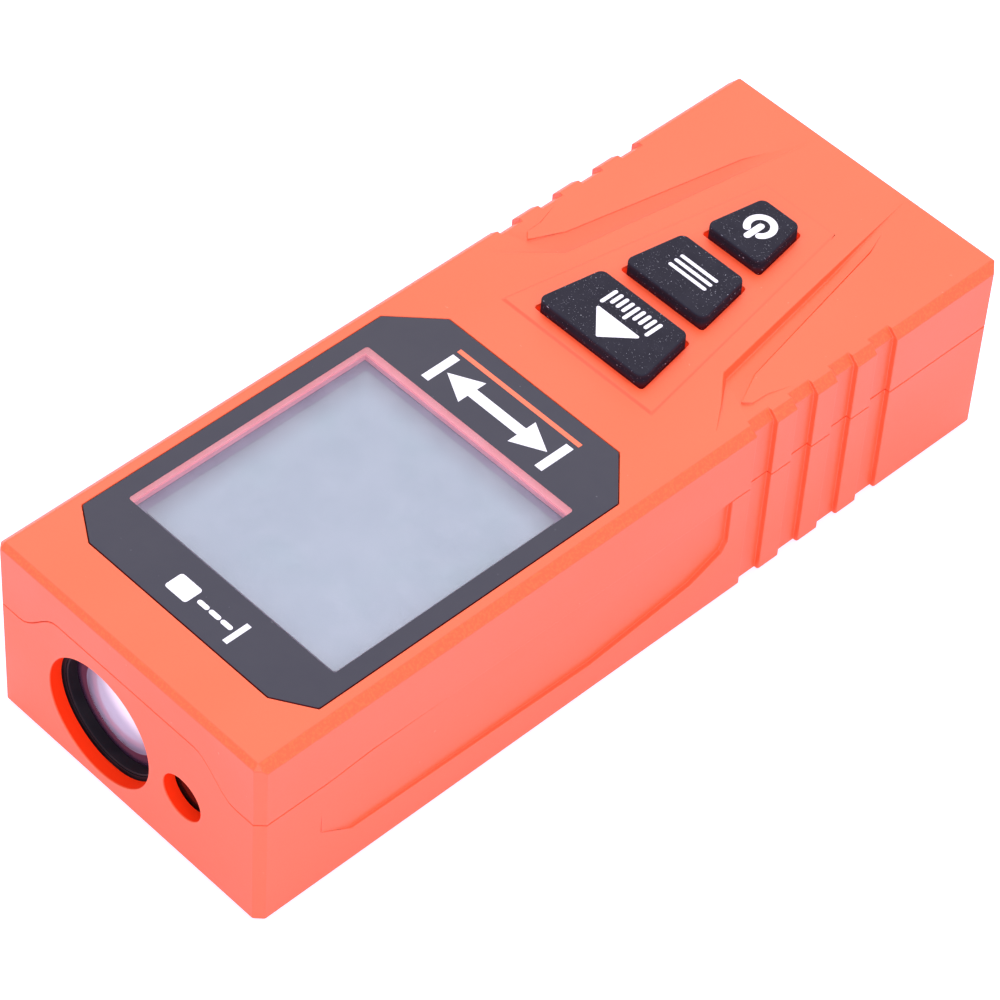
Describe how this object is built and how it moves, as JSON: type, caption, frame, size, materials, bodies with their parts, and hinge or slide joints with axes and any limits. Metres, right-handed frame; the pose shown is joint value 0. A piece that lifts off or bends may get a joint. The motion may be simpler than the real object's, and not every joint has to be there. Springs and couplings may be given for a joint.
{
  "type": "laser distance meter",
  "caption": "Pocket laser distance meter: box-shaped orange case, large display window, tapering rubber keys, grip grooves, lens and laser apertures in the front face, battery door below.",
  "frame": {"origin": "centre of the resting underside, below the middle of the case", "axes": "-Y is the lens face where the beam leaves, +Y the back face, +Z the display side, +X the side with the laser aperture"},
  "size_m": [0.038, 0.1008, 0.0243],
  "materials": {
    "orange_plastic": "fine matte orange ABS, lightly textured",
    "black_rubber": "matte silicone rubber",
    "black_plastic": "satin black moulded plastic",
    "white_plastic": "white moulded plastic",
    "window_print": "clear acrylic, black print on its back around the clear area",
    "lcd_grey": "grey liquid crystal glass",
    "board_green": "green solder mask",
    "chip_black": "black moulded package",
    "glass": "coated optical glass",
    "steel": "plated steel",
    "brass": "machined brass",
    "cell_label": "printed sleeve, no lettering",
    "red_wire": "red PVC insulation",
    "black_wire": "black PVC insulation",
    "ribbon": "amber polyimide",
    "paper_label": "blank silver-grey film label"
  },
  "bodies": {
    "case": {"top_cover": "orange_plastic", "lower_housing": "orange_plastic", "display_window": "window_print", "window_adhesive": "black_plastic", "lcd_panel": "lcd_grey", "lcd_backlight": "white_plastic", "lcd_contact_strip": "black_rubber", "lcd_frame": "white_plastic", "keypad_web": "black_rubber", "measure_switch": "steel", "function_switch": "steel", "power_switch": "steel", "main_board": "board_green", "controller_chip": "chip_black", "buzzer": "black_plastic", "timing_crystal": "steel", "supply_capacitor": "brass", "optics_chassis": "black_plastic", "receiver_lens": "glass", "lens_retainer": "black_plastic", "receiver_filter": "glass", "light_detector": "steel", "detector_board": "board_green", "detector_shield": "steel", "receiver_ribbon": "ribbon", "laser_window": "glass", "laser_barrel": "brass", "collimator_lens": "glass", "laser_diode": "brass", "laser_lead": "red_wire", "battery_left": "cell_label", "battery_right": "cell_label", "front_spring": "steel", "rear_spring": "steel", "minus_contact": "steel", "plus_contact": "steel", "battery_link_plate": "steel", "minus_wire": "black_wire", "plus_wire": "red_wire", "rating_label": "paper_label", "case_screw_1": "steel", "board_screw_1": "steel", "case_screw_2": "steel", "board_screw_2": "steel", "case_screw_3": "steel", "board_screw_3": "steel", "case_screw_4": "steel", "board_screw_4": "steel", "chassis_screw_1": "steel", "chassis_screw_2": "steel"},
    "measure_key_body": {"measure_key": "black_rubber", "measure_switch_stem": "white_plastic"},
    "function_key_body": {"function_key": "black_rubber", "function_switch_stem": "white_plastic"},
    "power_key_body": {"power_key": "black_rubber", "power_switch_stem": "white_plastic"},
    "door": {"battery_door": "orange_plastic"}
  },
  "joints": [
    {"name": "measure_press", "type": "slide", "parent": "case", "child": "measure_key_body", "axis": [0, 0, -1], "range_m": [0, 0.0005], "stiffness_N_per_m": 60, "springref_m": -0.001},
    {"name": "function_press", "type": "slide", "parent": "case", "child": "function_key_body", "axis": [0, 0, -1], "range_m": [0, 0.0005], "stiffness_N_per_m": 60, "springref_m": -0.001},
    {"name": "power_press", "type": "slide", "parent": "case", "child": "power_key_body", "axis": [0, 0, -1], "range_m": [0, 0.0005], "stiffness_N_per_m": 60, "springref_m": -0.001},
    {"name": "door_swing", "type": "hinge", "parent": "case", "child": "door", "pos_m": [0, -0.0018, 0], "axis": [-1, 0, 0], "range_deg": [0, 75]}
  ]
}
